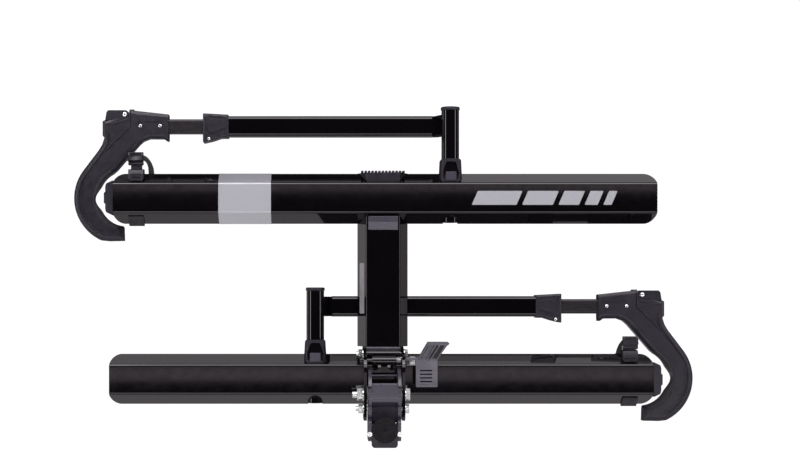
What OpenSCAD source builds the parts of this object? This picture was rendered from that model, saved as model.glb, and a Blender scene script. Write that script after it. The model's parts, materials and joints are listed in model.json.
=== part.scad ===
// Two-bike platform rack for a 2 inch hitch receiver, folded up against the car.
// +X to the right seen from behind the car, +Y towards the car, +Z up.
// The origin is the centre of the hitch pin hole. Millimetres.

/* [Trays] */
// Length of each tray
tray_len = 1169.2; // [1100:0.1:1200]
// How far each tray is shifted away from its hook
tray_shift = 4; // [0:0.5:10]
// Distance between the two trays
tray_gap = 390; // [380:1:400]
// Height of the lower tray's centre
tray_z = 112.4; // [108:0.1:114]
// Width of the flat web
web_w = 63.4; // [60:0.1:66]
// Width across the open side
open_w = 108.5; // [104:0.1:112]
// Depth of the channel
tray_d = 35; // [30:1:38]
// Sheet thickness
tray_t = 2.5; // [2:0.1:3]
// Outer radius of the bends
bend_r = 6; // [3:0.5:8]

/* [Pivot] */
// Pivot position behind the hitch pin hole
piv_back = 200; // [190:1:230]
// Pivot height
piv_z = 84; // [84:0.5:86]
// Radius of the head's side plates
cheek_r = 55; // [53:0.5:55]
// Radius of the pivot bolt
piv_r = 7; // [6:0.5:8]
// Radius of the stop bolt
stop_r = 5; // [4:0.5:5]
// Distance from the pivot to the stop bolt
stop_at = 30; // [29:0.5:31]
// Fold range
fold_max = 115; // [95:5:115]

/* [Stinger] */
// Outer width of the square tube
tube_w = 50.8; // [50.8:0.1:50.8]
// Wall of the square tube
tube_t = 4.8; // [4:0.1:5]
// How far the tube reaches past the pin hole
tube_front = 66; // [60:1:80]
// Radius of the hitch pin hole
pin_r = 8.3; // [8.1:0.1:8.5]
// Knob radius
knob_r = 27; // [25:0.5:27]
// Height of the knob's axis above the tube's axis
knob_z = 12; // [12:0.5:13]
// Radius of the threaded rod
rod_r = 3; // [2.5:0.5:3]
// How far the wedge moves when it is drawn tight
wedge_travel = 6; // [4:1:8]

/* [Spine] */
// Width of the spine's web
spine_web = 71; // [69:0.5:72]
// Greatest width of the spine
spine_w = 108.6; // [106:0.1:109]
// Height of the spine's lower end
spine_low = 183; // [183:0.5:186]
// Height of the end plug's top
spine_top = 561.5; // [560:0.5:562]
// Sheet thickness of the spine
spine_t = 3; // [2.5:0.1:3.5]

/* [Arms] */
// Distance of each post from the rack's middle
post_x = 146; // [140:1:150]
// Depth of the post's axis behind the tray's web
post_y = 29; // [28:0.5:30]
// Outer radius of the post
post_r = 19.05; // [18:0.05:20]
// Height of the arm above the tray's centre
arm_w = 159; // [156:1:162]
// Depth of the arm behind the tray's web
arm_y = 85; // [85:1:90]
// Height of the arm's tube
arm_h = 45; // [43:0.5:46]
// Depth of the arm's tube
arm_d = 36; // [34:0.5:36]
// How far the upper arm sits above its nominal height, and the lower one below it
arm_lift = 2.2; // [0:0.1:3]
// How far the lower hook is drawn out from its middle setting, and the upper one pushed in
hook_out = 2.9; // [0:0.1:10]

/* [Hidden] */
$fn = 64;

piv_y = -piv_back;
run_gap = 0.06;                        // radial clearance of a running fit
thread_gap = 0.03;                     // radial clearance of a nut or screw on its thread
slide_gap = 0.2;                       // clearance between the arm's inner tube and its guides

// Depths that follow from the pivot, measured from the pivot's axis
web_dy = 60;                           // outer face of the tray webs
spine_dy = 69;                         // outer face of the spine's web
spine_back = 119;                      // back of the spine
plate_in = 37;                         // inner face of the pivot plates
plate_out = 43.4;                      // outer face of the pivot plates
cheek_in = 27.4;                       // inner face of the head's side plates
cheek_out = 34.4;                      // outer face of the head's side plates
latch_dy = 10;                         // latch shaft's axis
latch_z = 71;
latch_r = 5;
face_dy = -36;                         // back of the head's front plate
lug_z = 20;                            // the cheeks' lugs stand proud of the front plate above this
top_bolt = [50, 84];                   // top bolts' axis
foot_z = 99;                           // lower end of the spine above the pivot

// Flange geometry of the trays
flange_a = atan2((open_w - web_w) / 2, tray_d);
hook_end = tray_len / 2 - tray_shift;  // web end on the hook's side
far_end = tray_len / 2 + tray_shift;
strap_x = -532;                        // middle of the wheel strap
cap_out = 19;                          // how far the end cap stands out

// The arm, along u outwards from the post and w above the arm's middle
collar_u = [482, 538];
head_u = 616.4;
lever_pin = [712, 25.5];
lever_r = 9.5;
mouth = [710, -157.5];                 // middle of the hook's mouth
back_arc = [722, -157.5];
back_r = 101.5;
hook_t = 34;
hook_screw_u = [634.7, 678];
lining = [61, 72.5];                   // inner and outer radius of the hook's lining
lining_ends = [-74, 62];               // where the lining starts and stops round the mouth
pocket = [-1, 28, 8.8];                // middle, half width and depth of the lining's pocket

// ---------- helpers ----------
function unit(v) = v / norm(v);

// Points of one rounded corner at b, between a and c
function corner(a, b, c, r, n) =
    let (p = unit(a - b), q = unit(c - b), half = acos(p * q) / 2,
         m = b + unit(p + q) * r / sin(half),
         start = b + p * r / tan(half) - m,
         turn = (p[0] * q[1] - p[1] * q[0]) > 0 ? -1 : 1,
         first = atan2(start[1], start[0]))
    [for (i = [0:n]) m + r * [cos(first + turn * (180 - 2 * half) * i / n),
                              sin(first + turn * (180 - 2 * half) * i / n)]];

// A closed outline whose corners have the radii in r, with 0 for a sharp one
function rounded(pts, r, n = 6) =
    let (k = len(pts))
    [for (i = [0:k - 1])
        let (ri = is_list(r) ? r[i] : r)
        each (ri == 0 ? [pts[i]] : corner(pts[(i + k - 1) % k], pts[i], pts[(i + 1) % k], ri, n))];

function arc(c, r, from, to, n = 24) =
    [for (i = [0:n]) c + r * [cos(from + (to - from) * i / n), sin(from + (to - from) * i / n)]];

function flip(pts) = [for (p = pts) [p[0], -p[1]]];
function reversed(pts) = [for (i = [len(pts) - 1:-1:0]) pts[i]];

module along_x(x0, x1) {
    translate([x0, 0, 0]) rotate([90, 0, 90]) linear_extrude(height = x1 - x0) children();
}
module along_y(y0, y1) {
    translate([0, y1, 0]) rotate([90, 0, 0]) linear_extrude(height = y1 - y0) children();
}
module along_z(z0, z1) {
    translate([0, 0, z0]) linear_extrude(height = z1 - z0) children();
}
module rod_x(x0, x1, r, sides = 64) {
    translate([x0, 0, 0]) rotate([0, 90, 0]) cylinder(h = x1 - x0, r = r, $fn = sides);
}
module rod_y(y0, y1, r, sides = 64) {
    translate([0, y0, 0]) rotate([-90, 0, 0]) cylinder(h = y1 - y0, r = r, $fn = sides);
}
module both_sides() {
    children();
    mirror([1, 0, 0]) children();
}
// A square with true round corners
module round_square(w, h, r) {
    square([w - 2 * r, h], center = true);
    square([w, h - 2 * r], center = true);
    for (x = [-1, 1], z = [-1, 1]) translate([x * (w / 2 - r), z * (h / 2 - r)]) circle(r = r);
}
module at_pivot() {
    translate([0, piv_y, piv_z]) children();
}
module at_latch() {
    translate([0, piv_y + latch_dy, piv_z + latch_z]) children();
}
module at_knob() {
    translate([0, 0, knob_z]) children();
}
// A tray's own frame: its web's outer face at y = 0, its middle at z = 0 and its hook towards -x
module at_tray(upper) {
    translate([0, piv_y + web_dy, upper ? tray_z + tray_gap : tray_z])
        mirror([upper ? 0 : 1, 0, 0]) children();
}
// The arm's frame: u outwards from the post, w above the arm's middle
module at_arm(upper) {
    at_tray(upper) translate([post_x, 0, arm_w + (upper ? arm_lift : -arm_lift)])
        mirror([1, 0, 0]) children();
}
// The same frame, moved with the hook as it is drawn out
module at_hook(upper) {
    at_arm(upper) translate([upper ? -hook_out : hook_out, 0, 0]) children();
}

// ---------- receiver side ----------
module stinger() {
    color("#26272b") difference() {
        along_y(piv_y - 26, tube_front + tube_w / 2) difference() {
            round_square(tube_w, tube_w, 5);
            round_square(tube_w - 2 * tube_t, tube_w - 2 * tube_t, 1.5);
        }
        rod_x(-tube_w, tube_w, pin_r);
        wedge_cut(0);
    }
}

// Everything in front of the slanted end face, moved back along +Y by gap
module wedge_cut(gap) {
    translate([0, tube_front + gap, 0]) rotate([-20, 0, 0]) translate([-tube_w, 0, -2 * tube_w])
        cube([2 * tube_w, 3 * tube_w, 4 * tube_w]);
}

module wedge_block() {
    wide = tube_w - 2;
    wedge_back = tube_front + 70;
    color("#8e9196") difference() {
        intersection() {
            along_y(0, wedge_back) round_square(wide, wide, 5);
            wedge_cut(wedge_travel + 0.4);
        }
        at_knob() rod_y(0, wedge_back + 1, rod_r + run_gap);
    }
}

module knob_rod() {
    color("#b9bcc0") at_knob() rod_y(piv_y - 40, tube_front + 62, rod_r);
}

module knob() {
    color("#1d1e20") at_knob() difference() {
        translate([0, piv_y - 55, 0]) rotate([-90, 0, 0]) rotate_extrude($fn = 96) polygon(rounded(
            [[0, 0], [knob_r - 1, 0], [knob_r, 4], [knob_r, 17], [9, 19], [0, 19]], [0, 2, 3, 2, 0, 0]));
        translate([0, piv_y - 56, 0]) rotate([-90, 0, 0]) cylinder(h = 4, r1 = 5, r2 = 2.5);
        rod_y(piv_y - 40, piv_y, rod_r);
    }
}

module stinger_cover() {
    plug = tube_w - 2 * tube_t;
    color("#2a2b2f") difference() {
        union() {
            along_y(piv_y - 34, piv_y - 26) round_square(2 * cheek_in, 2 * cheek_in - 3, 7);
            along_y(piv_y - 26, piv_y - 8) round_square(plug, plug, 1.5);
        }
        at_knob() rod_y(piv_y - 40, piv_y, rod_r + run_gap);
    }
}

// Slotted screws that draw the side plates' feet against the cover
module head_screws() {
    color("#d5d8da") both_sides() translate([31.3, 0, 3]) difference() {
        rod_y(piv_y - 39, piv_y - 35.2, 5.4);
        translate([-7, piv_y - 40, -0.8]) cube([14, 2.4, 1.6]);
    }
}

// Round lug above the front plate, and a leg whose front is hollowed below it
module cheek_outline() {
    difference() {
        circle(r = cheek_r, $fn = 128);
        translate([-60, -60]) square([60 + face_dy, 60 + lug_z]);
    }
    leg = [[face_dy, lug_z], [face_dy, -16], [-24, -25], [-20, -37], [-25, -48], [-35.2, -56], [-35.2, -97],
        [50, -97], [50, lug_z]];
    polygon(rounded(leg, [0, 2, 8, 10, 8, 6, 14, 20, 0]));
}

// Slot that lets the stop bolt swing with the rack, with play of 5 degrees at each end
module stop_slot(r) {
    from = 265;
    to = 275 + fold_max;
    polygon(concat(arc([0, 0], stop_at + r, from, to),
        arc(stop_at * [cos(to), sin(to)], r, to + 10, to + 170, 8),
        arc([0, 0], stop_at - r, to, from),
        arc(stop_at * [cos(from), sin(from)], r, from + 190, from + 350, 8)));
}

module head_side_plates() {
    color("#303238") at_pivot() both_sides() difference() {
        union() {
            along_x(cheek_in, cheek_out) cheek_outline();
            translate([0, 0, -piv_z]) along_x(tube_w / 2, cheek_in) translate([-26, -15]) square([61, 30]);
        }
        rod_x(cheek_in - 3, cheek_out + 1, piv_r + run_gap);
        along_x(cheek_in - 1, cheek_out + 1) stop_slot(stop_r + 0.7);
    }
}

// Front plate across the cheeks, with its upper edge rolled into a bar for the pawl, a ledge under its face,
// and a hollow throat behind the ledge that runs down to the tube
module head_cross_plate() {
    foot = tube_w / 2 - piv_z;
    front = face_dy - 6;
    face = [[front, 16], [front, -3], [front - 3.5, -5.5], [front - 3.5, -14]];
    throat = [[face_dy, -17], [-22, -24], [-17, -38], [-10, foot], [40, foot]];
    back = [[40, foot + 6], [-5, foot + 6], [-11, -38], [-13, -27], [-31, -11], [-31, 21]];
    color("#34363d") at_pivot() {
        along_x(-cheek_in, cheek_in) polygon(concat(arc([-38.1, 22], 4, 20, 170, 14),
            rounded(concat(face, throat, back), [0, 2, 2, 4, 2, 8, 12, 6, 0, 0, 4, 4, 3, 4, 0])));
        both_sides() along_x(cheek_in, cheek_out) polygon(rounded(
            concat(face, [[front - 2, -20], [face_dy, -24], [face_dy, 16]]), [2, 2, 2, 2, 3, 0, 0]));
    }
}

module latch_bar() {
    color("#9a9da2") at_pivot() translate([0, 22, 38.1]) rod_x(-cheek_in, cheek_in, 4);
}

// ---------- pivot and latch ----------
module plate_outline() {
    lobe = concat(
        [[-28, -46], [-20, -54], [52, -54], [web_dy, -46], [web_dy, 84], [spine_back - spine_t, 84],
         [spine_back - spine_t, 158], [112, 160], [91, 160], [91, foot_z], [58, foot_z]],
        arc([12, 48], 40, 75, 180, 16));
    polygon(lobe);
}

module pivot_plates() {
    color("#2c2e33") at_pivot() both_sides() difference() {
        along_x(plate_in, plate_out) plate_outline();
        rod_x(plate_in - 1, plate_out + 1, piv_r);
        translate([0, 0, -stop_at]) rod_x(plate_in - 1, plate_out + 1, stop_r);
        translate([0, top_bolt[0], top_bolt[1]]) rod_x(plate_in - 1, plate_out + 1, 5);
        translate([0, latch_dy, latch_z]) rod_x(plate_in - 1, plate_out + 1, latch_r + run_gap);
    }
}

// Hex bolt along X with its head at the +X side and its tip at tip_x
module hex_bolt(r, across, head, tip_x) {
    rod_x(tip_x, plate_out, r);
    rod_x(plate_out, plate_out + 2, across * 0.62);
    rod_x(plate_out + 2, plate_out + 2 + head, across / 2 / cos(30), 6);
}
module hex_nut(r, across, high) {
    difference() {
        union() {
            rod_x(-plate_out - 2, -plate_out, across * 0.62);
            rod_x(-plate_out - 2 - high, -plate_out - 2, across / 2 / cos(30), 6);
        }
        rod_x(-plate_out - 30, 0, r + thread_gap);
    }
}

module pivot_bolt() {
    color("#c8cbce") at_pivot() {
        hex_bolt(piv_r, 22, 9, -67);
        hex_nut(piv_r, 22, 12);
    }
}
module pivot_washers() {
    color("#ecebe4") at_pivot() both_sides() difference() {
        rod_x(cheek_out + 0.05, plate_in, 20);
        rod_x(cheek_out, plate_in + 1, piv_r);
    }
}
module stop_bolt() {
    color("#c8cbce") at_pivot() translate([0, 0, -stop_at]) {
        hex_bolt(stop_r, 17, 7, -60);
        hex_nut(stop_r, 17, 9);
    }
}
module top_bolts() {
    color("#c8cbce") at_pivot() translate([0, top_bolt[0], top_bolt[1]]) {
        hex_bolt(5, 17, 6.5, -58);
        hex_nut(5, 17, 8);
    }
}
// Bent plate that closes the gap between the pivot plates under the spine
module spine_foot_plate() {
    color("#3b3d44") at_pivot() along_x(-plate_in, plate_in)
        polygon(rounded([[60, 82], [65, 82], [65, 94.2], [112, 94.2], [112, foot_z], [60, foot_z]],
            [2, 2, 0, 0, 0, 4]));
}

module latch_shaft() {
    color("#303238") at_latch() {
        rod_x(-plate_out - 8, 110, latch_r);
        rod_x(-plate_out - 5, -plate_out - 2, latch_r + 3);
    }
}
module latch_pawl() {
    nose = [[0, 10], [-10, 0], [-7, -8], [6, -18.5], [14, -21], [18, -16], [10, -2], [9, 5]];
    tab = [[-4, -6], [-9, -14], [-6, -16], [4, -10]];
    color("#2e3035") at_latch() difference() {
        union() {
            along_x(-25, 25) {
                circle(r = 10);
                polygon([[-9, -4], [-4, -9], [2, -11], [9, -5], [9, 5], [-9, 4]]);
            }
            for (x = [-18, 18]) along_x(x - 5, x + 5) polygon(nose);
            for (x = [-10, 10]) along_x(x - 3, x + 3) polygon(tab);
        }
        rod_x(-30, 30, latch_r);
    }
}
// Torsion spring between the pawl and the right pivot plate, as close-wound rings
module latch_spring() {
    wire = 0.9;
    color("#9a9da2") at_latch() for (i = [0:6]) translate([25.1 + wire + 1.65 * i, 0, 0]) rotate([0, 90, 0])
        rotate_extrude() translate([latch_r + 1.2 + wire, 0]) circle(r = wire, $fn = 24);
}
// Foot pedal: a slotted pad with a lip, a skewed tread above it and an arm towards the pivot plate
module pedal() {
    pad = rounded([[66.5, -55], [112, -55], [112, 8], [66.5, 8]], [2, 2, 3, 3]);
    tread = [[71, 0], [112, 0], [135, 44], [89, 44]];
    color("#4a4c52") at_latch() difference() {
        union() {
            along_y(-16, -11) polygon(pad);
            for (x = [66.5, 108]) along_y(-11, -2) translate([x, -53]) square([4, 59]);
            along_y(-19, -5) translate([67.5, -55]) square([43.5, 3.5]);
            rod_x(70, 110, 9);
            along_y(-11, -2) translate([70, -8]) square([40, 14]);
            along_y(-16, -11) translate([plate_out + 2.5, 1]) square([24, 6.5]);
            translate([0, -16, 4]) rotate([38, 0, 0]) {
                along_y(0, 4) polygon(rounded(tread, [0, 0, 3, 3]));
                along_y(-2.5, 0.5) polygon([[86.4, 39], [132.4, 39], [135, 44], [89, 44]]);
                for (x = [71, 88, 96, 109]) along_y(-2.5, 0.5) translate([x, 0])
                    polygon([[0, 0], [3, 0], [21, 41], [18, 41]]);
            }
        }
        rod_x(60, 110, latch_r);
        for (i = [0:3]) along_y(-20, -8) translate([75, -45 + 7.7 * i]) square([26, 2.8]);
    }
}
module pedal_bolt() {
    color("#c8cbce") at_latch() difference() {
        rod_x(54, 66, 8.5, 6);
        rod_x(50, 70, latch_r);
    }
}

// ---------- spine ----------
// The spine's outline across Z, moved outwards by c
function spine_half(c) =
    let (a = atan2((spine_w - spine_web) / 2, 30))
    [[spine_web / 2 + c * tan((90 - a) / 2), spine_dy - c], [spine_w / 2 + c, spine_dy + 30 - c * tan(a / 2)],
     [spine_w / 2 + c, spine_back + c]];
function spine_pts(c, r) =
    let (h = spine_half(c), m = [for (p = reversed(h)) [-p[0], p[1]]])
    rounded(concat(h, m), [r, r, r, r, r, r]);

module spine() {
    color("#101113") translate([0, piv_y, 0]) difference() {
        along_z(spine_low, spine_top - 26) difference() {
            polygon(spine_pts(0, 6));
            polygon(spine_pts(-spine_t, 3));
        }
        for (z = [-18, 18]) translate([0, 0, tray_z + tray_gap + z]) rod_y(spine_dy - 5, spine_dy + 10, 4);
    }
}
module spine_end_plug() {
    color("#55575c") translate([0, piv_y, 0]) {
        along_z(spine_top - 26, spine_top - 4) polygon(spine_pts(0, 6));
        along_z(spine_top - 46, spine_top - 26) difference() {
            polygon(spine_pts(-spine_t, 3));
            polygon(spine_pts(-spine_t - 3, 1));
            translate([-12, spine_dy]) square([24, 20]);
        }
        for (i = [-6:6]) translate([i * 7.4 - 2.4, spine_dy + 0.5, spine_top - 5]) cube([4.8, 46, 5]);
    }
}
module tray_spacer() {
    color("#222327") translate([0, piv_y + web_dy, tray_z + tray_gap]) difference() {
        translate([-30, tray_t, -28]) cube([60, spine_dy - web_dy - tray_t, 56]);
        for (z = [-18, 18]) translate([0, 0, z]) rod_y(0, 10, 4);
    }
}
// Studs welded inside the upper tray's web, with flange nuts inside the spine
module tray_studs() {
    inside = spine_dy + spine_t - web_dy;
    color("#c8cbce") for (z = [-18, 18]) translate([0, piv_y + web_dy, tray_z + tray_gap + z]) {
        rod_y(tray_t, inside + 14, 4);
        rod_y(inside, inside + 1.8, 10);
        rod_y(inside + 1.8, inside + 8, 7.5, 6);
    }
}
module tray_gusset() {
    color("#3a3c42") translate([0, piv_y + spine_dy, tray_z + tray_gap]) along_x(-32, 32)
        polygon(rounded([[0, -68.4], [-2.5, -68.4], [-7.2, -51.4], [-7.2, -39], [0, -39]], [0, 1, 4, 1, 0]));
}

// ---------- trays ----------
// One side of the tray's section as [y, z], moved outwards by c
function tray_side(c) =
    let (m = [bend_r, web_w / 2 - bend_r * tan((90 - flange_a) / 2)])
    concat([[tray_d, open_w / 2 + c / cos(flange_a)]],
        [for (i = [0:6]) let (a = 90 + flange_a + (90 - flange_a) * i / 6)
            m + (bend_r + c) * [cos(a), sin(a)]]);
function tray_line(c) = concat(tray_side(c), reversed(flip(tray_side(c))));

module tray_section(c0, c1) {
    polygon(concat(tray_line(c0), reversed(tray_line(c1))));
}
// Everything inside the tray's outer surface, as a solid
module tray_envelope(x0, x1, c) {
    along_x(x0, x1) polygon(concat(tray_line(c), [[100, -open_w / 2], [100, open_w / 2]]));
}
// The tray seen square to its web, with its flanges cut back at both ends
module tray_plan(cut = 24) {
    h = open_w / 2;
    polygon(rounded([[-hook_end, -h], [far_end, -h], [far_end, h], [-hook_end, h]], cut, 12));
}

module tray() {
    difference() {
        intersection() {
            along_x(-hook_end, far_end) tray_section(0, -tray_t);
            along_y(-1, tray_d + 1) tray_plan();
        }
        translate([post_x, post_y, -60]) cylinder(h = 120, r = 16.5);
    }
}
module end_cap() {
    deep = tray_d + 1.5;
    color("#1c1d1f") translate([-hook_end, 0, 0]) mirror([1, 0, 0]) {
        along_y(-1.5, deep) {
            polygon(rounded([[0.05, -37.5], [14, -31], [16, -24], [16, 24], [14, 31], [0.05, 37.5]],
                [0, 4, 8, 8, 4, 0]));
            polygon(rounded([[0.05, -15], [cap_out, -12], [cap_out, 12], [0.05, 15]], [0, 3, 3, 0]));
        }
        translate([-12, tray_t + 0.1, -26]) cube([12.1, 20, 52]);
    }
}
module boot() {
    shape = rounded([[-24.7, 36], [24.7, 36], [22, 85], [-22, 85]], [4, 4, 5, 5]);
    color("#26272a") difference() {
        intersection() {
            translate([post_x, 0, 0]) along_y(4, post_y + 24) polygon(shape);
            translate([post_x, post_y, 0]) along_z(30, 90) round_square(50, 48, 16);
        }
        tray_envelope(post_x - 40, post_x + 40, 0.02);
        translate([post_x, post_y, 0]) cylinder(h = 100, r = 16.5);
    }
}
module axle() {
    color("#6d7075") translate([post_x, post_y, 0]) difference() {
        translate([0, 0, -52]) cylinder(h = 52 + 185, r = 16.5);
        translate([0, 0, -60]) cylinder(h = 300, r = 12.5);
    }
}

// ---------- wheel straps ----------
// Ladder strap arched over the channel, and its free tail beside the buckle, which is lower by drop
module strap(tail, drop) {
    half = 58;
    bulge = 19;
    thick = 2.8;
    r = (half * half + bulge * bulge) / (2 * bulge);
    mid = [tray_d + 5 + bulge - r, 0];
    a = asin(half / r);
    color("#18191b") translate([strap_x, 0, 0]) {
        along_x(-12.5, 12.5) polygon(concat(arc(mid, r, -a, a, 20), arc(mid, r - thick, a, -a, 20)));
        along_y(tray_d + 1.6, tray_d + 4.4) polygon(rounded(
            [[-12.5, 54], [tail, 54], [tail, 92 - drop], [tail - 17, 92 - drop], [12.5, 70], [-12.5, 70]],
            [0, 2, 9, 5, 1, 0]));
    }
}
module strap_pad() {
    color("#151618") translate([strap_x, 0, 0]) difference() {
        along_x(-16.5, 16.5) polygon(rounded([[14, -34], [tray_d + 1.5, -52], [tray_d + 1.5, -59],
            [tray_d - 3, -59], [8, -43]], [1, 0, 0, 3, 5]));
        mirror([0, 0, 1]) tray_envelope(-20, 20, 0.02);
    }
}
module buckle(drop) {
    color("#1f2022") translate([strap_x, 0, 0]) difference() {
        union() {
            along_x(-16.5, 16.5) polygon(rounded([[10, 34], [5, 50], [8, 62], [tray_d + 1.5, 64],
                [tray_d + 1.5, 45]], [0, 6, 5, 2, 0]));
            along_x(-11, 11) polygon(rounded([[14, 60], [14, 80 - drop], [22, 92 - drop], [32, 92 - drop],
                [tray_d + 1.5, 84 - drop], [tray_d + 1.5, 60]], [0, 4, 4, 4, 2, 0]));
            along_x(-20, 13) translate([24, 84 - drop]) circle(r = 3);
        }
        tray_envelope(-20, 20, 0.02);
        translate([0, 12.5, 76 - drop]) rod_x(-20, 20, 5.4);
    }
}
// Ratchet lever that folds down over the buckle's face
module buckle_lever(drop) {
    color("#1a1b1d") translate([strap_x, 12.5, 76 - drop]) {
        rod_x(-14, 14, 5);
        for (x = [-16, 11.2]) along_x(x, x + 4.8) polygon(rounded(
            [[-5, -3], [2, -6], [7, 0], [4, 22], [-3, 20], [-6, 8]], [3, 3, 3, 3, 3, 3]));
        along_x(-16, 16) polygon(rounded(
            [[-9, 4], [-3.5, 4], [-2.5, 20.5], [4, 19], [4, 22], [-6, 23], [-9, 18]], [2, 0, 0, 0, 1, 2, 4]));
        along_x(-16, 16) polygon([[-9, 5], [-3, 3], [-2, 0], [-5, 0]]);
    }
}

// ---------- arms ----------
module post() {
    color("#101113") translate([post_x, post_y, 0]) difference() {
        translate([0, 0, 85.2]) cylinder(h = 191 - 85.2, r = post_r);
        translate([0, 0, 80]) cylinder(h = 120, r = 16.5 + run_gap);
    }
}
module post_cap() {
    color("#2a2b2e") translate([post_x, post_y, 191]) rotate_extrude($fn = 96)
        polygon(rounded([[0, 0], [20.5, 0], [20.5, 7], [0, 7]], [0, 1, 2.5, 0]));
}
module arm_section(w, h, r) {
    translate([arm_y, 0]) round_square(w, h, r);
}
module arm() {
    knee = 36;
    color("#0e0f11") difference() {
        union() {
            along_x(knee, 490) arm_section(arm_d, arm_h, 7.5);
            along_z(-arm_h / 2 + 1, arm_h / 2 - 1) polygon(
                [[-14, post_y + 6], [-10, post_y + 24], [knee - 12, arm_y + arm_d / 2],
                 [knee + 1, arm_y + arm_d / 2], [knee + 1, arm_y - arm_d / 2], [knee - 4, arm_y - arm_d / 2],
                 [16, post_y + 4]]);
        }
        along_x(knee + 20, 491) arm_section(arm_d - 5, arm_h - 5, 5);
        translate([0, post_y, -60]) cylinder(h = 120, r = post_r);
    }
}
module inner_section(c) {
    translate([arm_y, 0]) round_square(24 + 2 * c, 32 + 2 * c, 5 + c);
}
module collar() {
    side = [[collar_u[0], 25], [collar_u[1], 28], [collar_u[1], -36], [516, -31], [498, -25],
        [collar_u[0], -25]];
    color("#232427") difference() {
        along_y(arm_y - 21, arm_y + 21) polygon(rounded(side, [1.5, 2, 2, 8, 8, 1.5]));
        along_x(collar_u[0] - 1, 490) arm_section(arm_d, arm_h, 7.5);
        along_x(480, 540) inner_section(slide_gap);
        translate([525, 0, -28]) rod_y(arm_y - 22, arm_y - 18, 3 + thread_gap);
    }
    color("#d5d8da") translate([525, 0, -28]) rod_y(arm_y - 22, arm_y - 18 - thread_gap, 3);
}
module inner_tube() {
    color("#35332f") difference() {
        along_x(200, head_u + 74) inner_section(0);
        along_x(199, head_u + 75) translate([arm_y, 0]) round_square(20, 28, 3);
    }
}
// The release lever's side view, moved outwards by c: round about its pin, then a flat thumb piece
module lever_outline(c) {
    polygon(concat(arc(lever_pin, lever_r + c, 90, 290),
        [[722, 18.2 - c], [737, 14.5 - c], [755 + c, 12.8 - c],
        [752 + c, 31], [748, lever_pin[1] + lever_r + c]]));
}
// Radius of the mouth at angle a, which swells into a pocket for the tyre
function mouth_r(a) = lining[0] + pocket[2] * pow(cos(90 * min(1, abs(a - pocket[0]) / pocket[1])), 2);
// The hook's side view, without its lining
module hook_outline() {
    head = [[head_u, -32], [head_u, 26], [692, 34.3], [692.5, 37], [701.5, 37], [703, 30], [706, 22],
        [755, 14],
        [761, 11], [761, -20.5], [757, -25], [762, -40], [769, -52]];
    tip = [[748, -251.2], [714.5, -250.5], [715.4, -221]];
    neck = [[731, -97.5], [681, -40], [672, -32], [658, -26.6], [627, -26.8], [620, -32]];
    polygon(concat(head, arc(back_arc, back_r, 40, -65), tip,
        arc(mouth, lining[0], -83, lining_ends[0], 2),
        arc(mouth, lining[1], lining_ends[0], lining_ends[1], 32),
        [mouth + lining[0] * [cos(lining_ends[1]), sin(lining_ends[1])]], neck));
}
module hook_body() {
    color("#202124") difference() {
        along_y(arm_y - hook_t / 2, arm_y + hook_t / 2) difference() {
            hook_outline();
            lever_outline(0.4);
        }
        along_x(head_u - 1, head_u + 74) inner_section(0);
        for (u = hook_screw_u) translate([u, 0, 0.5]) rod_y(arm_y - 20, arm_y - 13, 4);
    }
}
module hook_lining() {
    turn = lining_ends[1] - lining_ends[0];
    inside = [for (i = [0:64]) let (a = lining_ends[0] + turn * i / 64)
        mouth + mouth_r(a) * [cos(a), sin(a)]];
    color("#151517") along_y(arm_y - hook_t / 2 + 1, arm_y + hook_t / 2 - 1)
        polygon(concat(inside, arc(mouth, lining[1], lining_ends[1], lining_ends[0], 32)));
}
module hook_screws() {
    color("#d5d8da") {
        for (u = hook_screw_u) translate([u, 0, 0.5]) rod_y(arm_y - 18.2, arm_y - 13, 4);
        translate([lever_pin[0], 0, lever_pin[1]]) {
            rod_y(arm_y - 18, arm_y + 18, 3);
            rod_y(arm_y - 20, arm_y - 18, 5.2);
        }
    }
}
module hook_lever() {
    color("#26272a") difference() {
        along_y(arm_y - hook_t / 2, arm_y + hook_t / 2) lever_outline(0);
        translate([lever_pin[0], 0, lever_pin[1]]) rod_y(arm_y - 30, arm_y + 30, 3 + run_gap);
    }
}

// ---------- nodes ----------
module upper_tray() {
    color("#0f1012") difference() {
        at_tray(true) tray();
        translate([0, piv_y, 0]) along_z(spine_low, spine_top + 5) polygon(spine_pts(0.3, 6));
    }
}
module lower_tray() {
    color("#0f1012") at_tray(false) tray();
}
module upper_band() {
    color("#b4b6ba") at_tray(true) along_x(-354, -241) tray_section(0.6, 0);
}

stinger();
stinger_cover();
head_screws();
head_side_plates();
head_cross_plate();
latch_bar();
knob();
knob_rod();
wedge_block();
pivot_plates();
pivot_bolt();
pivot_washers();
stop_bolt();
top_bolts();
spine_foot_plate();
spine();
spine_end_plug();
tray_spacer();
tray_studs();
tray_gusset();
latch_shaft();
latch_pawl();
latch_spring();
pedal();
pedal_bolt();
upper_tray();
at_tray(true) end_cap();  // upper_end_cap
upper_band();
at_tray(true) boot();  // upper_boot
at_tray(true) axle();  // upper_axle
at_tray(true) post();  // upper_post
at_tray(true) post_cap();  // upper_post_cap
at_arm(true) arm();  // upper_arm
at_arm(true) collar();  // upper_collar
at_hook(true) inner_tube();  // upper_inner_tube
at_hook(true) hook_body();  // upper_hook
at_hook(true) hook_lining();  // upper_hook_lining
at_hook(true) hook_screws();  // upper_hook_screws
at_hook(true) hook_lever();  // upper_hook_lever
at_tray(true) strap(37, 0);  // upper_strap
at_tray(true) buckle(0);  // upper_buckle
at_tray(true) buckle_lever(0);  // upper_buckle_lever
at_tray(true) strap_pad();  // upper_strap_pad
lower_tray();
at_tray(false) end_cap();  // lower_end_cap
at_tray(false) boot();  // lower_boot
at_tray(false) axle();  // lower_axle
at_tray(false) post();  // lower_post
at_tray(false) post_cap();  // lower_post_cap
at_arm(false) arm();  // lower_arm
at_arm(false) collar();  // lower_collar
at_hook(false) inner_tube();  // lower_inner_tube
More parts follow.
